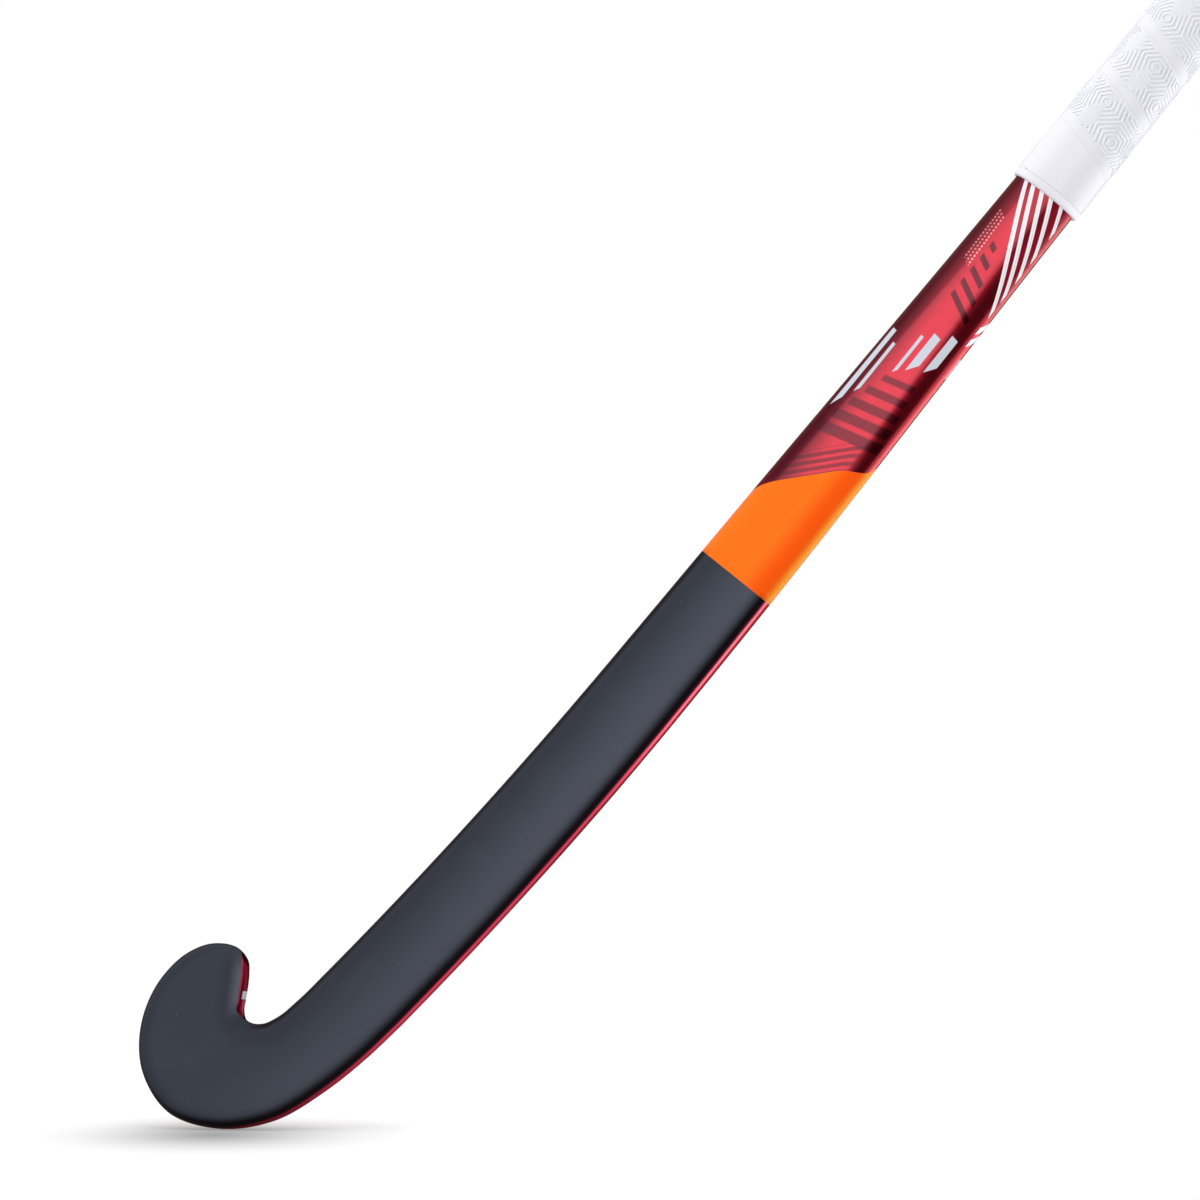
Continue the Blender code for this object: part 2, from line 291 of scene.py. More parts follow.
def hook_edges():
    """Matching points along the hook's outer and inner edge, from the hook's top to the toe's tip."""
    width = PROFILE[0][1]
    top = ((sweep(HOOK_TOP) + width / 2, HOOK_TOP), (sweep(HOOK_TOP) - width / 2, HOOK_TOP))
    ribs = (top,) + HOOK_RIBS
    chain = [np.array(rib[0]) for rib in ribs] + [np.array(TOE_TIP)]
    chain += [np.array(rib[1]) for rib in reversed(ribs)]
    knots = [0.0]
    for start, end in zip(chain, chain[1:]):
        knots.append(knots[-1] + float(np.linalg.norm(end - start)))
    line = [
        span_of(chain, knots, index, step / RIB_STEPS)
        for index in range(len(chain) - 1)
        for step in range(RIB_STEPS)
    ]
    line.append(chain[-1])
    half = len(line) // 2
    return [(line[i], line[-1 - i]) for i in range(half)]


def hook_hoops(inset=0.0, stop=1.0):
    """Rings round the hook, up to a share of the way to the tip."""
    edges = hook_edges()
    last = len(edges) - 1
    hoops = []
    along = HOOK_TOP
    before = (edges[0][0] + edges[0][1]) / 2
    for number, (outer, inner) in enumerate(edges[1 : round(stop * last) + 1], 1):
        share = number / last
        middle, across = (outer + inner) / 2, outer - inner
        along -= float(np.linalg.norm(middle - before))
        before = middle
        width = float(np.linalg.norm(across))
        across = across / width
        from_tip = float(np.linalg.norm(middle - np.array(TOE_TIP)))
        dome = math.sqrt(1 - (1 - min(from_tip / TIP_ROUND, 1)) ** 2)
        ease = share * share * (3 - 2 * share)
        _, _, _, behind, corner, roundness = PROFILE[0]
        behind = behind + (TOE_BACK_DEPTH - behind) * ease
        ring = section(
            width - 2 * inset,
            (FACE_DEPTH - inset) * dome,
            (behind - inset) * dome,
            max(corner - inset, LEAST_CORNER),
            roundness,
            SKIN_STEPS,
        )
        points = np.array([place(*(middle + across * side), y) for side, y in ring])
        hoops.append(Hoop(ring, points, along, SKIN_STEPS))
    return hoops


def heights_between(low, high, step):
    count = max(math.ceil((high - low) / step - 1e-9), 1)
    return [low + (high - low) * i / count for i in range(count + 1)]


# Mesh helpers
def put(name, data):
    """New object in the scene."""
    obj = bpy.data.objects.new(name, data)
    bpy.context.scene.collection.objects.link(obj)
    return obj


def mesh_from(maker, name, *materials):
    """Mesh that takes over what a bmesh holds."""
    mesh = bpy.data.meshes.new(name)
    maker.to_mesh(mesh)
    maker.free()
    for material in materials:
        mesh.materials.append(material)
    return mesh


def finish(name, maker, material, sharp=40):
    """Object with one closed skin from a bmesh, ready for the frame."""
    bmesh.ops.recalc_face_normals(maker, faces=maker.faces)
    mesh = mesh_from(maker, name, material)
    mesh.shade_smooth()
    mesh.set_sharp_from_angle(angle=math.radians(sharp))
    return put(name, mesh)


def cover(maker, layer, verts, spots):
    """Face with its corners' places on a map."""
    for loop, spot in zip(maker.faces.new(verts).loops, spots):
        loop[layer].uv = spot


def loft(name, hoops, material, tip=None, ring_closed=False):
    """Skin over rings of matching points with the surface map, closed at both ends or in a ring."""
    maker = bmesh.new()
    surface = maker.loops.layers.uv.new(SURFACE_MAP)
    rim = maker.verts.layers.float.new("rim")
    half = maker.verts.layers.float.new("half_girth")
    rows = []
    for hoop in hoops:
        row = [maker.verts.new(co) for co in hoop.points]
        for vert, value in zip(row, hoop.rim):
            vert[rim] = value
            vert[half] = hoop.girth / 2
        rows.append(row)
    count = len(rows[0])
    pairs = list(zip(range(len(rows)), range(1, len(rows))))
    if ring_closed:
        pairs.append((len(rows) - 1, 0))
    for a, b in pairs:
        low, high = hoops[a], hoops[b]
        for i in range(count):
            j, past = (i + 1) % count, i >= low.back
            spots = (low.spot(i, past), low.spot(i + 1, past), high.spot(i + 1, past), high.spot(i, past))
            cover(maker, surface, (rows[a][i], rows[a][j], rows[b][j], rows[b][i]), spots)
    ends = [] if ring_closed else [(rows[0], hoops[0])]
    if tip is not None:
        point, hoop = maker.verts.new(tip), hoops[-1]
        point[half] = hoop.girth / 2
        for i in range(count):
            spots = [hoop.spot(k, i >= hoop.back) for k in (i, i + 1, i)]
            cover(maker, surface, (rows[-1][i], rows[-1][(i + 1) % count], point), spots)
    elif not ring_closed:
        ends.append((rows[-1], hoops[-1]))
    for row, hoop in ends:
        cover(maker, surface, row, [hoop.spot(k) for k in range(count)])
    return finish(name, maker, material)


# Node helpers
class Wire:
    """An output socket with arithmetic: an expression on wires adds its Math nodes."""

    def __init__(self, graph, socket):
        self.graph = graph
        self.socket = socket

    def math(self, operation, *others, clamp=False):
        values = dict(enumerate((self,) + others))
        return self.graph.node("ShaderNodeMath", values, operation=operation, use_clamp=clamp)

    __add__ = __radd__ = partialmethod(math, "ADD")
    __mul__ = __rmul__ = partialmethod(math, "MULTIPLY")
    __sub__ = partialmethod(math, "SUBTRACT")
    __truediv__ = partialmethod(math, "DIVIDE")
    __abs__ = partialmethod(math, "ABSOLUTE")
    least = partialmethod(math, "MINIMUM")
    most = partialmethod(math, "MAXIMUM")

    def __rsub__(self, other):
        return self * -1 + other

    def above(self, limit, soft=0.16):
        """1 where the value is over the limit, with a soft edge of that width."""
        return ((self - limit) / soft).math("ADD", 0.5, clamp=True)

    def below(self, limit, soft=0.16):
        return ((limit - self) / soft).math("ADD", 0.5, clamp=True)

    def between(self, low, high, soft=0.16):
        return self.above(low, soft) * self.below(high, soft)

    def ramp(self, low, high):
        """Smooth rise from 0 at low to 1 at high."""
        return self.graph.node(
            "ShaderNodeMapRange",
            {"Value": self, "From Min": low, "From Max": high},
            interpolation_type="SMOOTHSTEP",
        )

    def fall(self, low, high):
        """Smooth fall from 1 at low to 0 at high."""
        return 1 - self.ramp(low, high)

    def repeat(self, period):
        """Distance from the nearest multiple of the period."""
        return (self / period).math("PINGPONG", 0.5) * period


def most_of(wires):
    """The greatest of some wires at each place."""
    greatest, *others = wires
    for wire in others:
        greatest = greatest.most(wire)
    return greatest


class Graph:
    """A node tree, with one method that adds any node."""

    def __init__(self, tree):
        self.tree = tree

    def add(self, kind, values=None, **settings):
        made = self.tree.nodes.new(kind)
        for key, value in settings.items():
            setattr(made, key, value)
        for key, value in (values or {}).items():
            if isinstance(value, Wire):
                self.tree.links.new(value.socket, made.inputs[key])
            else:
                made.inputs[key].default_value = value
        return made

    def node(self, kind, values=None, output=0, **settings):
        made = self.add(kind, values, **settings)
        shown = [socket for socket in made.outputs if socket.enabled]
        socket = made.outputs[output] if isinstance(output, str) else shown[output]
        return Wire(self, socket)

    def mix(self, factor, first, second):
        """Colour mix: the first at 0, the second at 1."""
        made = self.add("ShaderNodeMix", data_type="RGBA")
        for name, value in (("Factor", factor), ("A", first), ("B", second)):
            socket = next(s for s in made.inputs if s.enabled and s.name == name)
            if isinstance(value, Wire):
                self.tree.links.new(value.socket, socket)
            elif name == "Factor":
                socket.default_value = value
            else:
                socket.default_value = (*value, 1)
        return Wire(self, next(s for s in made.outputs if s.enabled))

    def layered(self, colour, *layers):
        """Colour with others over it in turn, each given as its mask and itself."""
        for mask, other in layers:
            colour = self.mix(mask, colour, other)
        return colour

    def vector(self, x=0.0, y=0.0, z=0.0):
        return self.node("ShaderNodeCombineXYZ", {"X": x, "Y": y, "Z": z})

    def parts(self, vector):
        made = self.add("ShaderNodeSeparateXYZ", {"Vector": vector})
        return [Wire(self, made.outputs[i]) for i in range(3)]

    def bump(self, height, strength, distance):
        return self.node("ShaderNodeBump", {"Height": height, "Strength": strength, "Distance": distance})


def bare_graph(owner):
    """The emptied node tree of a new material or world."""
    owner.use_nodes = True
    owner.node_tree.nodes.clear()
    return Graph(owner.node_tree)


class Paint(Graph):
    """The node tree of a material, with its Principled shader's constants set on their own sockets."""

    def __init__(self, name, **constants):
        self.material = bpy.data.materials.new(name)
        self.material.use_nodes = True
        super().__init__(self.material.node_tree)
        self.shader = self.tree.nodes["Principled BSDF"]
        self.spot = self.node("ShaderNodeTexCoord", output="Object")
        for key, value in constants.items():
            self.socket(key).default_value = value

    def socket(self, key):
        return self.shader.inputs[key.replace("_", " ").title().replace("Ior", "IOR")]

    def noise(self, scale, detail, roughness=0.5, at=None):
        values = {"Vector": at or self.spot, "Scale": scale, "Detail": detail, "Roughness": roughness}
        return self.node("ShaderNodeTexNoise", values, output="Fac")

    def cells(self, scale):
        """Distance from the middle of the nearest cell of an uneven pattern."""
        return self.node("ShaderNodeTexVoronoi", {"Vector": self.spot, "Scale": scale}, output="Distance")

    def finished(self, **wires):
        """The material, when these wires feed its shader."""
        for key, wire in wires.items():
            self.tree.links.new(wire.socket, self.socket(key))
        return self.material


# Paint of the stick: places in millimetres on its surface, and tones beside the chosen colours, among them
# painted light and shade
PANEL_LOW = 375.0
PANEL_HIGH = 438.0
PANEL_SLOPE = 1.07
STRIPES = ((-9.8, 20.6), (-5.0, 20.6), (0.5, 20.4), (6.2, 20.2), (13.0, 19.6))
STRIPE_RISE = 2.03
STRIPE_TOP = 615.0
STRIPE_LOW = 540.0
STRIPE_HALF = 1.22
SLASHES = (
    (-17.4, -13.8, 470, 519, 1.8),
    (-10.9, -9.1, 482, 513, 1.8),
    (-1.7, -0.1, 501, 524, 1.4),
    (3.0, 7.2, 505.5, 528.5, 1.4),
    (10.6, 14.8, 510, 533, 1.4),
)
DOT_COLUMN = 2.0
DOT_ROW = 1.94
DOT_RADIUS = 0.62
LACQUER_SHADOW = (0.25, 0.005, 0.020)
DOT_PINK = (1.0, 0.305, 0.305)
PANEL_CLOUD = (1.0, 0.26, 0.02)
# Painted shade and painted highlight of the orange panel
PANEL_SHADE = (1.0, 0.085, 0.002)
PANEL_HIGHLIGHT = (1.0, 0.34, 0.012)
FACE_SMUDGE = (0.062, 0.071, 0.086)
FACE_LIT = (0.078, 0.090, 0.115)
FACE_SPECK = (0.20, 0.21, 0.25)
FACE_EDGE_SHADE = (0.022, 0.024, 0.033)
FACE_SHEEN = (0.150, 0.170, 0.210)
FACE_RIM_SHADE = (0.003, 0.003, 0.005)
# Painted light of the band along the sides of blade and hook: shade low down, highlight higher up
SIDE_SHADE_LOW = (0.060, 0.026, 0.056)
SIDE_HIGHLIGHT = (0.62, 0.083, 0.150)
SIDE_HIGHLIGHT_PALE = (0.92, 0.30, 0.38)
# Painted highlight on the toe's inner side, by the face
LIP_HIGHLIGHT = (0.40, 0.070, 0.130)
# Painted reflection on the toe's inner side, a darker and a paler mauve
WALL_REFLECTION_DARK = (0.175, 0.022, 0.070)
WALL_REFLECTION_PALE = (0.42, 0.13, 0.20)


class StickPaint(Paint):
    """Lacquer, print and playing face, laid one over the other, with painted light and shade among them."""

    def __init__(self, colours):
        super().__init__(
            "painted_laminate",
            coat_roughness=0.10,
            specular_ior_level=0.12,
            specular_tint=(0.62, 0.16, 0.22, 1),
        )
        self.colours = colours
        across, along, _ = self.parts(self.node("ShaderNodeUVMap", uv_map=SURFACE_MAP))
        self.s, self.v = s, v = across * MM, along * MM
        self.rim, self.half = rim, half = self.carried("rim"), self.carried("half_girth")

        # Zones: the panel's upper border rises to the heel side and comes down again round the back
        self.lean = lean = abs(s).least(half - abs(s)) * s.math("SIGN")
        self.above_panel = v - (lean * PANEL_SLOPE - lean.ramp(7, 25) * 6.5 + PANEL_HIGH)
        self.red_zone = self.above_panel.above(0)
        self.blade = v.below(PANEL_LOW)
        self.panel = (1 - self.red_zone) * v.above(PANEL_LOW)
        outer = v.fall(15, 45) * 2.9 + 1.1
        inner = v.ramp(-6, 13) * 4.4 + v.fall(-57, -47) * 3.0 - 0.8
        self.on_heel = s.above(0)
        self.on_toe = 1 - self.on_heel
        self.face = self.blade * (outer * self.on_heel + inner * self.on_toe - rim).above(0, 0.25)
        past = (s - self.stripe_middle(STRIPES[0][0])).above(0, 0.6)
        self.past_stripe = past * v.above(500) * s.below(24, 3)

    def carried(self, name):
        """What the mesh carries in metres, in millimetres."""
        return self.node("ShaderNodeAttribute", output="Fac", attribute_name=name) * MM

    def lay(self, *layers):
        self.colour = self.layered(self.colour, *layers)

    def stripe_middle(self, start):
        return (STRIPE_TOP - self.v) / STRIPE_RISE + start

    def slanted_bar(self, left, right, height, slope, half, soft):
        """Bar from left to right, whose middle would be at the height where s is 0."""
        off = self.v - self.s * slope - height
        return self.s.between(left, right, soft) * off.between(-half, half, soft)

    def slash(self, left, right, low, high, slant):
        """Bar along the shaft that is cut slanting at its lower end."""
        walked = self.s - left
        ends = (self.v - walked * slant).above(low, 0.4) * (self.v + walked * 0.15).below(high, 0.4)
        return self.s.between(left, right, 0.3) * ends

    def stripe(self, start, end):
        """White diagonal stripe with a thin pale line inside."""
        off = self.s - self.stripe_middle(start)
        shown = abs(off).below(STRIPE_HALF, 0.25) * self.s.below(end, 0.3) * self.s.above(-20)
        thread = abs(off - 0.2).below(0.2, 0.25) * 0.2
        return shown - shown * thread

    def lacquer(self):
        """Red with painted shade that darkens it towards the toe side, flakes, and darker from the first
        stripe on.
        """
        v, flake_and_shade_red = self.v, self.colours.flake_and_shade_red
        toeward = self.s * -1
        before_back = toeward.fall(36, 52)
        # Painted shade: the lacquer darkens towards the toe side, high on the shaft and low on the blade
        high_toe_shade = toeward.ramp(0, 16) * before_back * v.ramp(395, 430)
        low_toe_shade = self.blade * toeward.ramp(12, 24) * before_back * 0.75
        flakes = self.noise(2600, 1) * 0.5 + self.noise(240, 2) * 0.5
        self.colour = self.mix(high_toe_shade.most(low_toe_shade), self.colours.lacquer, flake_and_shade_red)
        self.lay((flakes.ramp(0.35, 0.75) * 0.18, flake_and_shade_red), (self.past_stripe * 0.8, LACQUER_SHADOW))

    def tonal_print(self):
        """Fan of thin stripes by the panel's border, broad bars over it, and a hatch by the first stripe."""
        tonal = self.colours.tonal
        fan_zone = self.above_panel.between(0, 18)
        fan = (self.above_panel + 0.6).repeat(4.9).above(1.35, 0.4) * fan_zone
        self.lay((fan_zone * (1 - fan) * self.s.below(12, 4) * 0.7, tonal))
        for k in range(5):
            bar = self.slanted_bar(-3.5 - 2.9 * k, 13 + 1.5 * k, 497 - 8.6 * k, 0.25, 1.8 + 0.3 * k, 0.8)
            self.lay((bar * self.red_zone * 0.78, tonal))
        for k in range(5):
            bar = self.slanted_bar(-3.1, 12.4 - 2.9 * k, 548.5 + 7.5 * k, -0.5, 1.7, 0.6)
            self.lay((bar * 0.92, tonal))

    def dots(self):
        """Field of printed dots in staggered rows."""
        column = self.s - (596 - self.v) * 0.045 + 10.9
        step = (column / DOT_COLUMN).math("ROUND")
        dx = column - step * DOT_COLUMN
        dy = (self.v + step).repeat(DOT_ROW)
        dot = (dx * dx + dy * dy).math("SQRT").below(DOT_RADIUS, 0.3)
        field = column.between(-0.9, 4.9) * (self.v + column * 0.5).between(566.8, 596.8)
        self.lay((dot * field * 0.62, DOT_PINK))

    def bright_print(self):
        """Silver slashes, white diagonal stripes, and short bars on the heel side."""
        s, v = self.s, self.v
        block = s.between(24, 31) * v.between(515, 527) * 0.7
        silver = most_of([self.slash(*row) for row in SLASHES] + [block])
        leaning = v - (s - 20.4) * 0.9
        side = s.between(20.4, 29) * leaning.between(540.5, 545).most(leaning.between(533, 537.5))
        white = (most_of(self.stripe(*row) for row in STRIPES) * v.above(STRIPE_LOW)).most(side)
        self.lay(
            (silver * self.red_zone, self.colours.print_silver),
            (white * self.red_zone, self.colours.print_white),
        )
        self.printed = white.most(silver) * self.red_zone

    def back_bands(self):
        """A few plain tonal bands."""
        slanted = self.v - self.lean * 0.5
        far = abs(self.s).above(34, 0.4) * slanted.between(480, 600)
        self.lay((slanted.repeat(24).above(8.5, 0.4) * far * 0.45, self.colours.tonal))

    def bright_panel(self):
        # Painted shade makes the orange darker and redder towards the heel side, and a painted highlight
        # makes it golden at that side's edge
        before_back = self.s.fall(36, 50)
        panel = self.layered(
            self.colours.panel,
            (self.noise(34, 2).ramp(0.35, 0.7) * 0.06, PANEL_CLOUD),
            (self.s.ramp(4, 15) * before_back * 0.8, PANEL_SHADE),
            (self.s.ramp(18, 24) * before_back, PANEL_HIGHLIGHT),
        )
        self.lay((self.panel, panel))

    def hook_side(self):
        """Painted shade in darker lacquer on the sides of hook and blade, a painted highlight band along
        them, a painted highlight and a painted reflection inside the toe, and a small pale printed bar
        there.
        """
        v, rim = self.v, self.rim
        inside = self.on_toe * v.fall(2, 12)
        # Painted highlight: a band along the sides of blade and hook
        line = rim.ramp(1.2, 2.4) * rim.fall(3.4, 5.2)
        # Painted shade: darker lacquer beyond that band, and on the toe's inner side
        outside = v.below(PANEL_LOW, 6) * (1 - inside) * rim.above(-3, 1) * (1 - line) * 0.6
        before_back = rim.fall(9, 16) * (self.half - abs(self.s)).ramp(0, 8)
        shade = (outside + inside * rim.ramp(0.2, 1.6)) * before_back
        side_highlight_and_shade = self.mix(v.ramp(25, 120), SIDE_SHADE_LOW, SIDE_HIGHLIGHT)
        side_highlight_and_shade = self.mix(v.ramp(230, 370) * 0.7, side_highlight_and_shade, SIDE_HIGHLIGHT_PALE)
        # Painted reflection: mauve on the toe's inner side, paler further from the tip
        wall_reflection = inside * rim.ramp(2.6, 4.4) * rim.fall(6.5, 11)
        tab = inside * v.between(-26, -17, 0.6) * rim.between(2.0, 7.5, 0.6)
        # Painted highlight: a pink strip where the toe's inner side meets the face
        self.lip_highlight = inside * rim.between(-3, 0.4, 0.8) * v.fall(-16, -4) * 0.8
        self.lay(
            (line * (1 - inside) * self.blade * 0.8, side_highlight_and_shade),
            (shade, self.colours.flake_and_shade_red),
            (self.lip_highlight, LIP_HIGHLIGHT),
            (wall_reflection * 0.8, self.mix(v.ramp(-24, -14), WALL_REFLECTION_DARK, WALL_REFLECTION_PALE)),
            (tab, self.colours.print_silver),
        )
        self.printed = self.printed.most(tab)

    def playing_face(self):
        """Charcoal with smudges and specks, paler to the heel side as painted light, a painted sheen inside
        the toe, and painted shade dark along its edges and near black at their rims.
        """
        s, v, rim = self.s, self.v, self.rim
        lit = s.ramp(-12, 12) * (v.ramp(5, 65) * 0.7 + v.ramp(60, 260) * 0.3)
        sheen = rim.ramp(-7.5, 1.0) * v.fall(-20, 9) * v.ramp(-56, -40) * self.on_toe
        above_hook = v.ramp(-5, 40)
        # Painted shade: near black on the rounded edges of the face
        heel_rim_shade = rim.ramp(above_hook * -3.6 - 2.0, above_hook * -1.4 + 0.6) * self.on_heel
        toe_rim_shade = rim.ramp(-3.2, 0.2) * v.ramp(15, 50) * self.on_toe
        face = self.layered(
            self.colours.charcoal,
            (self.noise(30, 3, 0.6).ramp(0.45, 0.75) * 0.30, FACE_SMUDGE),
            (lit * 0.85, FACE_LIT),
            (self.noise(700, 1).above(0.79, 0.03) * 0.3, FACE_SPECK),
            # Painted shade: darker towards the face's edges
            (rim.ramp(self.on_heel * 6.5 - 15, -3) * 0.4, FACE_EDGE_SHADE),
            (sheen * 0.9, FACE_SHEEN),
            (heel_rim_shade.most(toe_rim_shade), FACE_RIM_SHADE),
        )
        self.lay((self.face, face))

    def cured(self):
        """The material, with metal, gloss and relief as the lacquer, the print and the face have them."""
        s, face, panel, printed = self.s, self.face, self.panel, self.printed
        soft_zone = self.past_stripe * s.ramp(5, 13) * s.fall(16, 20) * 0.75
        peel = self.noise(420, 2)
        grain = self.noise(2100, 2)
        height = peel * 0.35 * (1 - face) + grain * face + printed * 0.6
        gloss = (s.ramp(-17, -7) * s.fall(24, 32) * 0.45 + 0.12) * (self.red_zone * 0.9 + 0.1)
        return self.finished(
            base_color=self.colour,
            metallic=(1 - most_of([printed, face, panel, self.lip_highlight, soft_zone])) * 0.9,
            roughness=0.27 + peel * 0.06 + face * (0.29 + grain * 0.10) + panel * 0.17 + printed * 0.19,
            normal=self.bump(height, 0.35, 0.00006),
            coat_weight=(1 - face.most(panel)) * gloss,
        )


def stick_paint(colours):
    paint = StickPaint(colours)
    paint.lacquer()
    paint.tonal_print()
    paint.dots()
    paint.bright_print()
    paint.back_bands()
    paint.bright_panel()
    paint.hook_side()
    paint.playing_face()
    return paint.cured()


# Other materials
def grip_cover(colours):
    """Soft white synthetic leather with fine pores."""
    paint = Paint("wrap_cover", specular_ior_level=0.8, ior=1.65)
    cloud = paint.noise(26, 3).ramp(0.4, 0.8)
    pore = paint.cells(1900.0)
    colour = paint.mix(cloud * 0.25, colours.grip, (0.80, 0.79, 0.84))
    colour = paint.mix(pore.fall(0.05, 0.30) * 0.10, colour, (0.62, 0.61, 0.66))
    height = pore.ramp(0.0, 0.35) * 0.5 + paint.noise(300, 2) * 0.5
    normal = paint.bump(height, 0.35, 0.00008)
    return paint.finished(base_color=colour, roughness=0.36 + cloud * 0.08, normal=normal)


def ridge_cover(colours):
    """The same cover where it is embossed, painted a little paler: painted light that offsets the shade of
    the ridges.
    """
    paint = Paint("wrap_ridge", specular_ior_level=0.8, ior=1.65)
    cloud = paint.noise(60, 2).ramp(0.35, 0.7)
    # Painted light: the ridges are paler than the rest of the cover
    colour = paint.mix(cloud * 0.5, (0.89, 0.89, 0.93), colours.grip)
    normal = paint.bump(paint.noise(1500, 2), 0.25, 0.00005)
    return paint.finished(base_color=colour, roughness=0.34 + cloud * 0.08, normal=normal)


def moulded_rubber(name, colour, pale, scale=1400.0):
    """Moulded rubber with a fine matt texture."""
    paint = Paint(name)
    grain = paint.noise(scale, 3)
    cloud = paint.noise(45, 2).ramp(0.4, 0.75)
    colour = paint.mix(cloud * 0.35, colour, pale)
    normal = paint.bump(grain, 0.4, 0.00008)
    return paint.finished(base_color=colour, roughness=0.55 + grain * 0.2, normal=normal)


def foam(name, colour, dark, scale):
    """Rigid closed-cell foam: cells of uneven size with dark walls."""
    paint = Paint(name)
    cell = paint.cells(scale)
    cloud = paint.noise(50, 3)
    colour = paint.mix(cell.ramp(0.15, 0.62) * 0.55 + cloud * 0.25, colour, dark)
    normal = paint.bump(cell * -1, 0.7, 0.0003)
    return paint.finished(base_color=colour, roughness=0.82 + cloud * 0.12, normal=normal)


def laminate():
    """Bare woven laminate: two sets of tows that cross over and under."""
    paint = Paint("web_laminate")
    _, y, z = paint.parts(paint.spot)
    first, second = (y + z) * MM, (y - z) * MM
    over = ((first / 2).math("FLOOR") + (second / 2).math("FLOOR")).math("FLOORED_MODULO", 2)
    tow = first.repeat(2) * over + second.repeat(2) * (1 - over)
    fibre = paint.noise(900, 2)
    shine = tow.ramp(0.1, 0.95) * 0.6 + fibre * 0.2
    colour = paint.mix(shine, (0.018, 0.018, 0.020), (0.085, 0.087, 0.092))
    rough = 0.30 + tow * 0.12 + fibre * 0.1
    return paint.finished(base_color=colour, roughness=rough, normal=paint.bump(tow, 0.5, 0.0002))


def tape_paper():
    """Double-sided tape: a fibrous film with long wrinkles."""
    paint = Paint("tape_backing")
    x, y, z = paint.parts(paint.spot)
    stretched = paint.vector(x * 6, y * 6, z)
    fibre = paint.noise(260, 4, at=stretched)
    wrinkle = paint.noise(30, 2, at=stretched)
    colour = paint.mix(fibre.ramp(0.35, 0.7) * 0.6, (0.70, 0.68, 0.60), (0.52, 0.49, 0.41))
    normal = paint.bump(fibre * 0.4 + wrinkle, 0.5, 0.0002)
    return paint.finished(base_color=colour, roughness=0.55 + wrinkle * 0.25, normal=normal)


# Pieces
def painted_stick(material):
    """The laminate stick: outside, handle's open end and the cavity in one closed skin."""
    cavity = list(reversed(hook_hoops(WALL, CAVITY_END)))
    cavity += [shaft_hoop(h, -WALL) for h in heights_between(HOOK_TOP, SHELL_TOP, SHAFT_STEP * 5)]
    outside = [shaft_hoop(h) for h in reversed(heights_between(HOOK_TOP, SHELL_TOP, SHAFT_STEP))]
    outside += hook_hoops()
    return loft("painted_stick", cavity + outside, material, place(*TOE_TIP, 0.0))


# Where the ribbon starts and ends, and the narrowest strips of it that are built
RIBBON_RISE = 0.0036
RIBBON_END = 0.0030
LEAST_STRIP = 0.00008
LEAST_SHEET = 0.001
SHEET_STRIPS = 4


class Ribbon:
    """The grip's ribbon: where its edges run as it winds up the handle from the toe side by the back."""

    def __init__(self, sizes):
        self.pitch = sizes.pitch
        self.width = sizes.pitch - sizes.seam
        around = shaft_hoop((GRIP_BOTTOM + SHELL_TOP) / 2, WRAP_OUTSIDE, HANDLE_STEPS).around
        self.walk = around - around[0]
        self.girth = float(self.walk[-1])
        self.points = len(self.walk) - 1
        self.lean = math.atan(self.pitch / self.girth)
        self.first = GRIP_BOTTOM + BAND_HEIGHT + GAP + RIBBON_RISE

    def stations(self):
        """Ring index, distance walked, uncut lower edge, and both edges as cut, at each step."""
        found = []
        step = -self.points // 4
        while True:
            turns, left = divmod(step, self.points)
            index = -left % self.points
            walked = self.girth * turns + (self.girth - float(self.walk[index]) if index else 0.0)
            upper = self.first + self.pitch * walked / self.girth
            if upper - self.width >= SHELL_TOP - RIBBON_END:
                return found
            low, high = max(upper - self.width, WRAP_BOTTOM), min(upper, SHELL_TOP)
            if high - low > LEAST_STRIP:
                found.append((index, walked, upper - self.width, low, high))
            step += 1

    def map_point(self, walked, height):
        """Place on the flat ribbon of a point that is so high over its lower edge."""
        along = walked / math.cos(self.lean) + height * math.sin(self.lean)
        return along, height * math.cos(self.lean)


def handle_point(h, offset, index):
    return shaft_hoop(h, offset, HANDLE_STEPS).points[index]


def rounded(h, offset, radius, steps, side=1):
    """Heights and offsets round an outer edge up to the outside; the side is -1 at a lower edge."""
    turn = np.linspace(0, math.pi / 2, steps)
    return [(h - side * radius * (1 - math.cos(a)), offset - radius * (1 - math.sin(a))) for a in turn]


def wound_ribbon(sizes, material):
    """One unbroken ribbon with rounded edges, whose turns all but touch."""
    ribbon = Ribbon(sizes)
    maker = bmesh.new()
    rows = []
    for index, _, _, low, high in ribbon.stations():
        edge = min(sizes.edge, (high - low) / 4)
        foot = edge if low > WRAP_BOTTOM else edge / 4
        outline = [(low, WRAP_INSIDE), (high, WRAP_INSIDE), *rounded(high, WRAP_OUTSIDE, edge, 5)]
        outline += reversed(rounded(low, WRAP_OUTSIDE, foot, 5, -1))
        rows.append([maker.verts.new(handle_point(h, offset, index)) for h, offset in outline])
    for before, after in zip(rows, rows[1:]):
        for i in range(len(before)):
            j = (i + 1) % len(before)
            maker.faces.new((before[i], before[j], after[j], after[i]))
    maker.faces.new(rows[0])
    maker.faces.new(rows[-1])
    return finish("wound_ribbon", maker, material, 50)


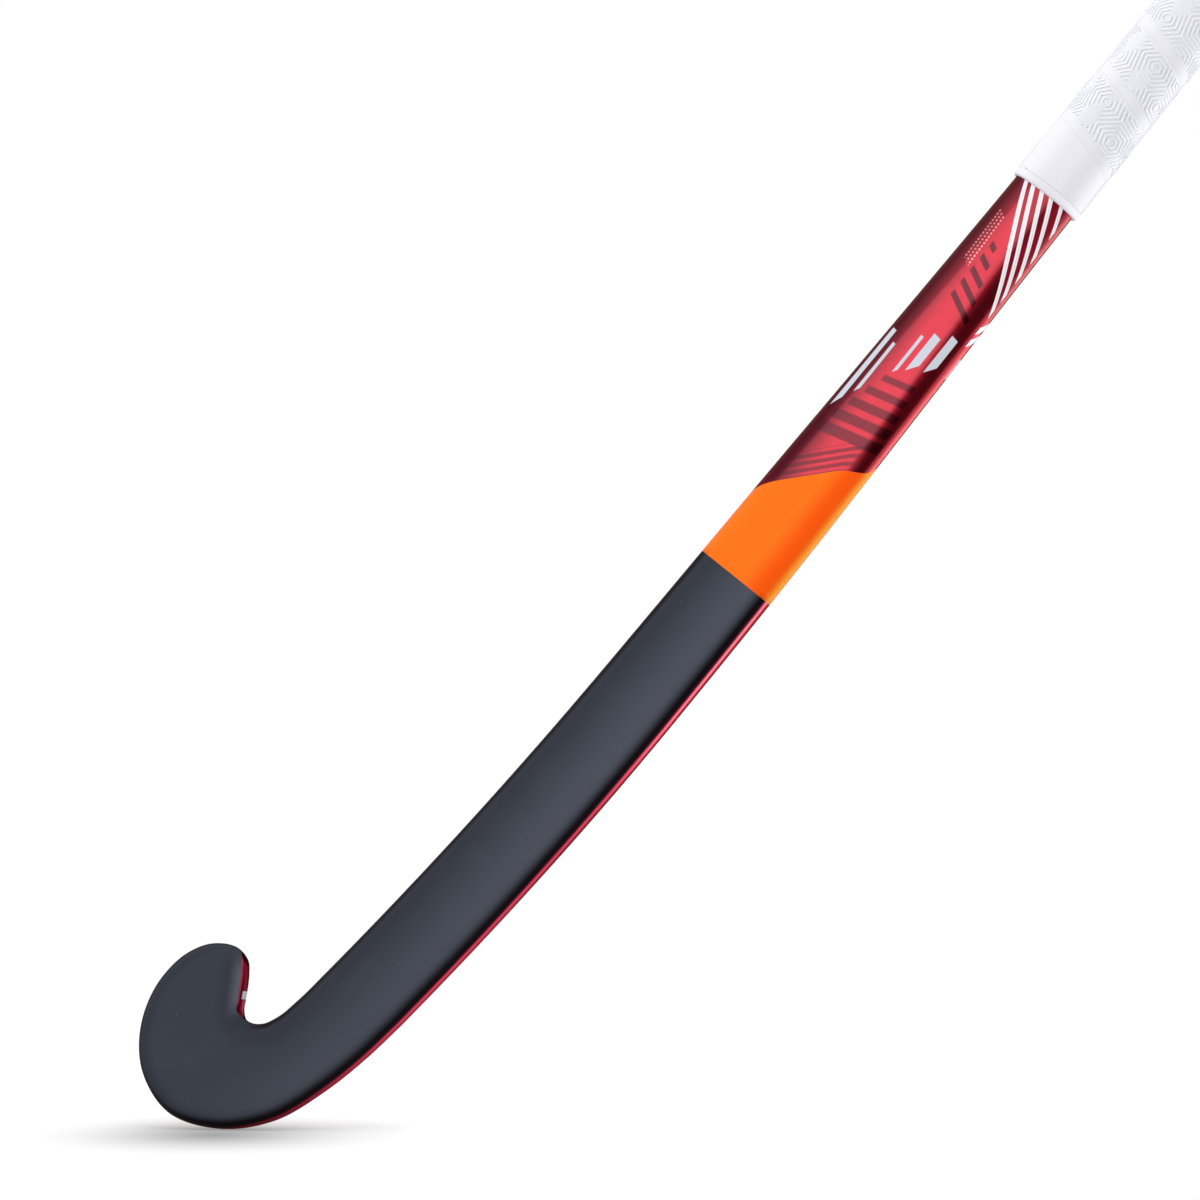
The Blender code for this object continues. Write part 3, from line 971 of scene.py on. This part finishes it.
def ribbon_sheet(sizes):
    """The ribbon's outer side alone, mapped flat, which carries the embossed pattern."""
    ribbon = Ribbon(sizes)
    maker = bmesh.new()
    flat = maker.loops.layers.uv.new(WINDING_MAP)
    rows = []
    for index, walked, foot, low, high in ribbon.stations():
        if high - low < LEAST_SHEET:
            continue
        levels = [low + (high - low) * k / SHEET_STRIPS for k in range(SHEET_STRIPS + 1)]
        verts = [maker.verts.new(handle_point(h, WRAP_OUTSIDE, index)) for h in levels]
        rows.append((verts, [ribbon.map_point(walked, h - foot) for h in levels]))
    for (verts, spots), (next_verts, next_spots) in zip(rows, rows[1:]):
        for k in range(SHEET_STRIPS):
            corners = (verts[k], next_verts[k], next_verts[k + 1], verts[k + 1])
            cover(maker, flat, corners, (spots[k], next_spots[k], next_spots[k + 1], spots[k + 1]))
    mesh = mesh_from(maker, "embossed_cells")
    mesh.shade_smooth()
    return mesh, ribbon


# The embossed pattern and its place on the flat ribbon
RINGS = 5
CELL_ROWS = 3
SAME_SPOT = 0.00005
PATTERN_FIRST_TURN = 1.2
PATTERN_SHIFT = -0.0032
PATTERN_ROW = 0.0014


def emboss_tree(material):
    """Geometry nodes: nested hexagon rings laid on the flat ribbon and wound up with it."""
    tree = bpy.data.node_groups.new("embossed_cells", "GeometryNodeTree")
    face = tree.interface
    for way in ("INPUT", "OUTPUT"):
        face.new_socket("Geometry", in_out=way, socket_type="NodeSocketGeometry")
    names = ("Cell", "Ridge", "Band Low", "Band High", "Start", "Length", "Phase", "Row")
    for name in names:
        socket = face.new_socket(name, in_out="INPUT", socket_type="NodeSocketFloat")
        socket.min_value = -10
        socket.max_value = 10
    columns = face.new_socket("Columns", in_out="INPUT", socket_type="NodeSocketInt")
    columns.min_value = 2
    graph = Graph(tree)
    given = graph.add("NodeGroupInput").outputs
    carrier, cell, ridge, low, high, start, length, phase, row, count = (
        Wire(graph, given[name]) for name in ("Geometry", *names, "Columns")
    )

    def make(kind, values=None, **settings):
        return graph.node("GeometryNode" + kind, values, **settings)

    # One cell: nested rings with their corners along the ribbon
    ring = make("MeshCircle", {"Vertices": 6, "Radius": cell / RINGS}, fill_type="NONE")
    spots = make("MeshLine", {"Count": RINGS, "Offset": (0, 0, 0)}, mode="OFFSET")
    number = make("InputIndex") + 1
    size = graph.vector(number, number, number)
    rings = make("InstanceOnPoints", {"Points": spots, "Instance": ring, "Scale": size})
    rings = make("RealizeInstances", {"Geometry": rings})

    # The cells' places: every second column stands half a row higher
    pace, rise = cell * 1.5, cell * math.sqrt(3)
    wide = pace * (count - 1)
    rows = {"Size Y": rise * (CELL_ROWS - 1), "Vertices Y": CELL_ROWS}
    grid = make("MeshGrid", {"Size X": wide, "Vertices X": count, **rows})
    x = graph.parts(make("InputPosition"))[0] + wide * 0.5
    odd = (x / pace + 0.5).math("FLOOR").math("FLOORED_MODULO", 2)
    shift = graph.vector(wide * 0.5 + phase, row + odd * rise * 0.5)
    grid = make("SetPosition", {"Geometry": grid, "Offset": shift})
    cells = make("InstanceOnPoints", {"Points": grid, "Instance": rings})
    cells = make("RealizeInstances", {"Geometry": cells})
    cells = make("MergeByDistance", {"Geometry": cells, "Distance": SAME_SPOT})
    cells = make("SubdivideMesh", {"Mesh": cells, "Level": 2})

    # Cut to the band and to where the ribbon is, made into ridges and wound on to the carrier
    chart = make("InputNamedAttribute", {"Name": WINDING_MAP}, data_type="FLOAT_VECTOR")

    def wound(source, spot):
        """What the carrier has at a place on the flat ribbon, and 1 where it has one."""
        made = graph.add("GeometryNodeSampleUVSurface", data_type="FLOAT_VECTOR")
        values = {"Mesh": carrier, "Value": make(source), "UV Map": chart, "Source UV Map": chart}
        values["Sample UV"] = spot
        for socket in made.inputs:
            if socket.enabled and socket.name in values:
                tree.links.new(values[socket.name].socket, socket)
        return [Wire(graph, socket) for socket in made.outputs if socket.enabled]

    flat = make("InputPosition")
    along, across, lift = graph.parts(flat)
    outside = across.math("LESS_THAN", low) + across.math("GREATER_THAN", high)
    outside = outside + along.math("LESS_THAN", start) + along.math("GREATER_THAN", length)
    for side in (-2, 2):
        probe = graph.vector(along, across + ridge * side)
        outside = outside + (1 - wound("InputPosition", probe)[1])
    cells = make("DeleteGeometry", {"Geometry": cells, "Selection": outside}, domain="POINT")
    lines = make("MeshToCurve", {"Mesh": cells})
    profile = make("CurvePrimitiveCircle", {"Resolution": 6, "Radius": ridge}, mode="RADIUS")
    ridges = make("CurveToMesh", {"Curve": lines, "Profile Curve": profile, "Fill Caps": True})
    base, up = (wound(source, flat)[0] for source in ("InputPosition", "InputNormal"))
    height = lift * 0.95 - ridge * 0.2
    raised = graph.node("ShaderNodeVectorMath", {0: up, "Scale": height}, operation="SCALE")
    spot = graph.node("ShaderNodeVectorMath", {0: base, 1: raised}, operation="ADD")
    ridges = make("SetPosition", {"Geometry": ridges, "Position": spot})
    ridges = make("SetShadeSmooth", {"Geometry": ridges})
    ridges = make("RealizeInstances", {"Geometry": ridges})
    ridges = make("SetMaterial", {"Geometry": ridges, "Material": material})
    graph.add("NodeGroupOutput", {"Geometry": ridges})
    return tree


def embossed_cells(sizes, material):
    """Ridges of the grip's embossed hexagon cells, as one mesh."""
    mesh, ribbon = ribbon_sheet(sizes)
    carrier = put("embossed_cells", mesh)
    last = ribbon.stations()[-1][1] / math.cos(ribbon.lean)
    values = {
        "Cell": sizes.cell,
        "Ridge": sizes.ridge,
        "Band Low": sizes.band_low,
        "Band High": sizes.band_high,
        "Start": ribbon.girth * PATTERN_FIRST_TURN / math.cos(ribbon.lean),
        "Length": last,
        "Phase": PATTERN_SHIFT,
        "Row": PATTERN_ROW,
        "Columns": int(last / (sizes.cell * 1.5)) + 2,
    }
    modifier = carrier.modifiers.new("embossed_cells", "NODES")
    modifier.node_group = emboss_tree(material)
    for item in modifier.node_group.interface.items_tree:
        if item.in_out == "INPUT" and item.name in values:
            modifier[item.identifier] = values[item.name]
    evaluated = carrier.evaluated_get(bpy.context.evaluated_depsgraph_get())
    result = bpy.data.meshes.new_from_object(evaluated)
    carrier.modifiers.remove(modifier)
    if not result.polygons:
        raise RuntimeError("the embossed cells came out empty")
    result.name = "embossed_cells"
    carrier.data = result
    bpy.data.meshes.remove(mesh)
    return carrier


# The cap's rounding, and its end as depths below the top and distances in from the handle's outside
CAP_ROUND = 0.0015
CAP_END = (
    (0.0, 0.0012),
    (0.0002, 0.0016),
    (0.0009, 0.0020),
    (0.0009, 0.0052),
    (0.0004, 0.0056),
    (0.0004, 0.0068),
    (0.0009, 0.0072),
    (0.0009, 0.0098),
)


def butt_cap(material):
    """Moulded cap: spigot, flange with a rounded rim, and a shallow dished end with a raised ring."""
    rim = WRAP_OUTSIDE + CAP_PROUD
    spigot = -WALL - GAP
    under = SHELL_TOP + GAP
    path = [(SHELL_TOP - CAP_SPIGOT, spigot), (under, spigot), (under, rim)]
    path += reversed(rounded(LENGTH, rim, CAP_ROUND, 8))
    path += [(LENGTH - drop, -inward) for drop, inward in CAP_END]
    return loft("moulded_cap", [shaft_hoop(h, offset, HANDLE_STEPS) for h, offset in path], material)


def finishing_band(material):
    """Soft band with rounded edges that closes the wrap's lower end."""
    outside = WRAP_OUTSIDE - BAND_UNDERCUT
    low, high = GRIP_BOTTOM, GRIP_BOTTOM + BAND_HEIGHT
    path = [(low, BAND_INSIDE), (high, BAND_INSIDE), *rounded(high, outside, BAND_TOP_EDGE, 5)]
    path += reversed(rounded(low, outside, BAND_LOW_EDGE, 7, -1))
    hoops = [shaft_hoop(h, offset, HANDLE_STEPS) for h, offset in path]
    return loft("closing_band", hoops, material, ring_closed=True)


def dress(piece, slot, *nodes):
    """Ties a finished piece to the frame."""
    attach(piece, "root")
    if nodes:
        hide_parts(*nodes)


def repaint(node, material):
    """Gives a carried-over CAD node a better material."""
    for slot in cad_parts[node].material_slots:
        slot.material = material


# Studio: each lamp has its name, azimuth, elevation, distance, size, power and if it shows in reflections
CAMERA_SPOT = Vector((0.5369, -2.3396, -0.4462))
CAMERA_AZIMUTH = math.radians(14)
SENSOR = 36
UPRIGHT = Vector((0, 0, 1))
STICK_MIDDLE = Vector((0, 0, -0.35))
GRIP_MIDDLE = Vector((0, 0, 0))
STICK_LAMPS = (
    ("front_lamp", -14, 4, 2.0, (2.0, 2.2), 14, True),
    ("left_lamp", -80, 0, 1.3, (0.9, 2.2), 3.5, False),
    ("right_lamp", 78, 0, 1.3, (0.9, 2.2), 3.5, False),
    ("rim_lamp", 138, 0, 1.3, (0.9, 2.2), 9, True),
)
GRIP_LAMPS = (
    ("grip_left", -57, 0, 1.3, (0.6, 1.4), 9.4, False),
    ("grip_right", 88, 0, 1.3, (0.6, 1.4), 9.8, False),
    ("grip_back", 200, 0, 1.3, (0.6, 1.4), 4.5, False),
)
FLAGS = (
    ("low_flag", 75, (1.46, 1.2), -0.87),
    ("high_flag", 60, (1.38, 1.2), 0.33),
    ("back_flag", 188, (1.04, 2.4), -0.35),
)
FLAG_DISTANCE = 0.9
FLOOR_DROP = 0.0002
FLOOR_RADIUS = 0.45
FLOOR_LAMP_HEIGHT = 1.2
FLOOR_LAMP_SIZE = (1.1, 1.1)
FLOOR_LAMP_POWER = 12
SHADOW_SHIFT = 0.026
PAPER_GREY = (0.22, 0.22, 0.22, 1)
WHITE = (1, 1, 1, 1)
BLACK = (0, 0, 0, 1)


def picture_axes(roll):
    """The photograph's right and up directions, and the way towards its camera."""
    level = Vector((math.cos(CAMERA_AZIMUTH), math.sin(CAMERA_AZIMUTH), 0))
    right = level * math.cos(roll) + UPRIGHT * math.sin(roll)
    up = UPRIGHT * math.cos(roll) - level * math.sin(roll)
    return right, up, right.cross(up)


def stood(spot, right, up, back):
    """Matrix of a camera or lamp at a spot, with these axes."""
    return Matrix.Translation(spot) @ Matrix((right, up, back)).transposed().to_4x4()


def aimed(spot, target, up):
    """Matrix of a lamp at a spot that looks at a target."""
    back = (spot - target).normalized()
    right = up.cross(back).normalized()
    return stood(spot, right, back.cross(right), back)


def way_out(azimuth, elevation=0):
    """Direction from the stick at an azimuth from -Y towards +X."""
    a, e = math.radians(azimuth), math.radians(elevation)
    return Vector((math.sin(a) * math.cos(e), -math.cos(a) * math.cos(e), math.sin(e)))


def soft_lamp(name, matrix, size, power, pieces, glossy=True):
    """Rectangular soft lamp that lights these pieces and no others."""
    data = bpy.data.lights.new(name, "AREA")
    data.shape = "RECTANGLE"
    data.size, data.size_y = size
    data.energy = power
    lamp = put(name, data)
    lamp.matrix_world = matrix
    lamp.visible_glossy = glossy
    lit = bpy.data.collections.new(name + "_receivers")
    for piece in pieces:
        lit.objects.link(bpy.data.objects[piece])
    lamp.light_linking.receiver_collection = lit


def lamps_round(lamps, target, pieces):
    for name, azimuth, elevation, distance, size, power, glossy in lamps:
        matrix = aimed(target + way_out(azimuth, elevation) * distance, target, UPRIGHT)
        soft_lamp(name, matrix, size, power, pieces, glossy)


def sheet(name, corners, material):
    """Flat thing of the studio with these corners."""
    maker = bmesh.new()
    maker.faces.new([maker.verts.new(corner) for corner in corners])
    obj = put(name, mesh_from(maker, name, material))
    return obj


def disc(centre, normal, radius, sides=64):
    """Corners of a round flat sheet."""
    turn = normal.to_track_quat("Z", "Y").to_matrix()
    angles = (2 * math.pi * k / sides for k in range(sides))
    return [centre + turn @ Vector((radius * math.cos(a), radius * math.sin(a), 0)) for a in angles]


def seen_plain(graph):
    """1 for rays from the camera or from a mirror or glass."""
    path = graph.add("ShaderNodeLightPath").outputs
    rays = ("Is Camera Ray", "Is Glossy Ray", "Is Transmission Ray")
    return most_of(Wire(graph, path[name]) for name in rays)


def floor_paper(contact):
    """White floor with the stick's shadow and a painted shadow: its glow is weaker round the contact. Clear
    from below.
    """
    material = bpy.data.materials.new("floor_paper")
    graph = bare_graph(material)
    spot = graph.node("ShaderNodeTexCoord", output="Object")
    away = graph.node("ShaderNodeVectorMath", {0: spot, 1: contact}, output="Value", operation="DISTANCE")
    # Painted shadow: the glow is weakest round the contact and grows away from it
    level = away.ramp(-0.014, 0.073) * 0.53 + away.ramp(0.05, 0.13) * 0.25 + 0.076
    paper = graph.node("ShaderNodeBsdfDiffuse", {"Color": PAPER_GREY})
    glow = graph.node("ShaderNodeEmission", {"Color": WHITE, "Strength": level})
    lit = graph.node("ShaderNodeAddShader", {0: paper, 1: glow})
    plain = graph.node("ShaderNodeMixShader", {0: seen_plain(graph), 1: paper, 2: lit})
    under = graph.node("ShaderNodeNewGeometry", output="Backfacing")
    clear = graph.node("ShaderNodeBsdfTransparent")
    shown = graph.node("ShaderNodeMixShader", {0: under, 1: plain, 2: clear})
    graph.add("ShaderNodeOutputMaterial", {"Surface": shown})
    return material


def white_world(fill):
    """White to look at, and a weaker white that lights the stick."""
    world = bpy.data.worlds.new("white_studio")
    bpy.context.scene.world = world
    graph = bare_graph(world)
    backdrop = graph.node("ShaderNodeBackground", {"Color": WHITE, "Strength": 1.0})
    dim = graph.node("ShaderNodeBackground", {"Color": WHITE, "Strength": fill})
    shown = graph.node("ShaderNodeMixShader", {0: seen_plain(graph), 1: dim, 2: backdrop})
    graph.add("ShaderNodeOutputWorld", {"Surface": shown})


def black_flag(name, azimuth, size, height):
    """Black card that only reflections see, beside the stick."""
    material = bpy.data.materials.new(name)
    graph = bare_graph(material)
    dark = graph.node("ShaderNodeEmission", {"Color": BLACK, "Strength": 0.0})
    graph.add("ShaderNodeOutputMaterial", {"Surface": dark})
    way = way_out(azimuth)
    centre = Vector((0, 0, height)) + way * FLAG_DISTANCE
    side, rise = UPRIGHT.cross(way) * size[0] / 2, UPRIGHT * size[1] / 2
    corners = [centre + side * x + rise * z for x, z in ((-1, -1), (1, -1), (1, 1), (-1, 1))]
    flag = sheet(name, corners, material)
    flag.visible_camera = flag.visible_diffuse = flag.visible_shadow = flag.visible_transmission = False


class STICK_OT_stage(bpy.types.Operator):
    """Sets up the camera, the white floor, the background and the lamps round the finished pieces"""

    bl_idname = "stick.stage"
    bl_label = "Studio"

    def execute(self, context):
        settings = context.scene.stick_stage
        right, up, back = picture_axes(settings.roll)
        data = bpy.data.cameras.new("photo_camera")
        data.lens = settings.lens
        data.sensor_width = SENSOR
        camera = put("photo_camera", data)
        camera.matrix_world = stood(CAMERA_SPOT, right, up, back)
        context.scene.camera = camera
        context.scene.view_settings.view_transform = "Standard"
        white_world(settings.fill)
        lowest = min((v.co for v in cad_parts["composite_shell"].data.vertices), key=up.dot)
        paper = floor_paper(lowest + back * SHADOW_SHIFT)
        sheet("floor", disc(lowest - up * FLOOR_DROP, up, FLOOR_RADIUS), paper)
        lamps_round(STICK_LAMPS, STICK_MIDDLE, ("painted_stick", "moulded_cap"))
        above = aimed(lowest + up * FLOOR_LAMP_HEIGHT, lowest, Vector((0, 1, 0)))
        soft_lamp("floor_lamp", above, FLOOR_LAMP_SIZE, FLOOR_LAMP_POWER, ("floor",))
        lamps_round(GRIP_LAMPS, GRIP_MIDDLE, ("wound_ribbon", "embossed_cells", "closing_band"))
        for flag in FLAGS:
            black_flag(*flag)
        return {"FINISHED"}


class STICK_OT_painted_stick(bpy.types.Operator):
    """Makes the lacquered and printed stick"""

    bl_idname = "stick.painted_stick"
    bl_label = "Painted stick"

    def execute(self, context):
        piece = painted_stick(stick_paint(context.scene.stick_colours))
        dress(piece, "painted_laminate", "composite_shell")
        return {"FINISHED"}


class STICK_OT_wound_grip(bpy.types.Operator):
    """Winds the grip's ribbon and embosses its cells"""

    bl_idname = "stick.wound_grip"
    bl_label = "Wound grip"

    def execute(self, context):
        sizes, colours = context.scene.stick_sizes, context.scene.stick_colours
        dress(wound_ribbon(sizes, grip_cover(colours)), "wrap_cover", "grip_wrap")
        dress(embossed_cells(sizes, ridge_cover(colours)), "wrap_cover")
        return {"FINISHED"}


class STICK_OT_handle_end(bpy.types.Operator):
    """Makes the finishing band and the butt cap"""

    bl_idname = "stick.handle_end"
    bl_label = "Band and cap"

    def execute(self, context):
        colours = context.scene.stick_colours
        band = moulded_rubber("band_rubber", colours.grip, (0.78, 0.78, 0.81), 900.0)
        dress(finishing_band(band), "band_rubber", "finishing_band")
        cap = moulded_rubber("cap_rubber", colours.rubber, (0.045, 0.045, 0.048))
        dress(butt_cap(cap), "cap_rubber", "butt_cap")
        return {"FINISHED"}


class STICK_OT_inner_parts(bpy.types.Operator):
    """Gives the parts inside the stick their materials"""

    bl_idname = "stick.inner_parts"
    bl_label = "Inner parts"

    def execute(self, context):
        repaint("head_core", foam("core_foam", (0.75, 0.68, 0.45), (0.50, 0.42, 0.24), 700.0))
        repaint("handle_plug", foam("plug_foam", (0.82, 0.78, 0.66), (0.58, 0.53, 0.42), 500.0))
        repaint("inner_web", laminate())
        repaint("grip_tape", tape_paper())
        return {"FINISHED"}


class STICK_PT_pieces(bpy.types.Panel):
    """Lists the pieces of the stick"""

    bl_idname = "STICK_PT_pieces"
    bl_label = "Hockey Stick"
    bl_space_type = "VIEW_3D"
    bl_region_type = "UI"
    bl_category = "Hockey Stick"

    def draw(self, context):
        for operator in OPERATORS:
            self.layout.operator(operator.bl_idname)
        for name in ("stick_colours", "stick_sizes", "stick_stage"):
            group = getattr(context.scene, name)
            for key in type(group).__annotations__:
                self.layout.prop(group, key)


OPERATORS = (
    STICK_OT_painted_stick,
    STICK_OT_wound_grip,
    STICK_OT_handle_end,
    STICK_OT_inner_parts,
    STICK_OT_stage,
)
GROUPS = {"stick_colours": StickColours, "stick_sizes": StickSizes, "stick_stage": StageSettings}


def register():
    for cls in (*GROUPS.values(), *OPERATORS, STICK_PT_pieces):
        bpy.utils.register_class(cls)
    for name, group in GROUPS.items():
        setattr(bpy.types.Scene, name, bpy.props.PointerProperty(type=group))


def unregister():
    for name in GROUPS:
        delattr(bpy.types.Scene, name)
    for cls in reversed((*GROUPS.values(), *OPERATORS, STICK_PT_pieces)):
        bpy.utils.unregister_class(cls)


def main():
    register()
    bpy.ops.stick.painted_stick()
    bpy.ops.stick.wound_grip()
    bpy.ops.stick.handle_end()
    bpy.ops.stick.inner_parts()
    bpy.ops.stick.stage()


if __name__ == "__main__":
    main()
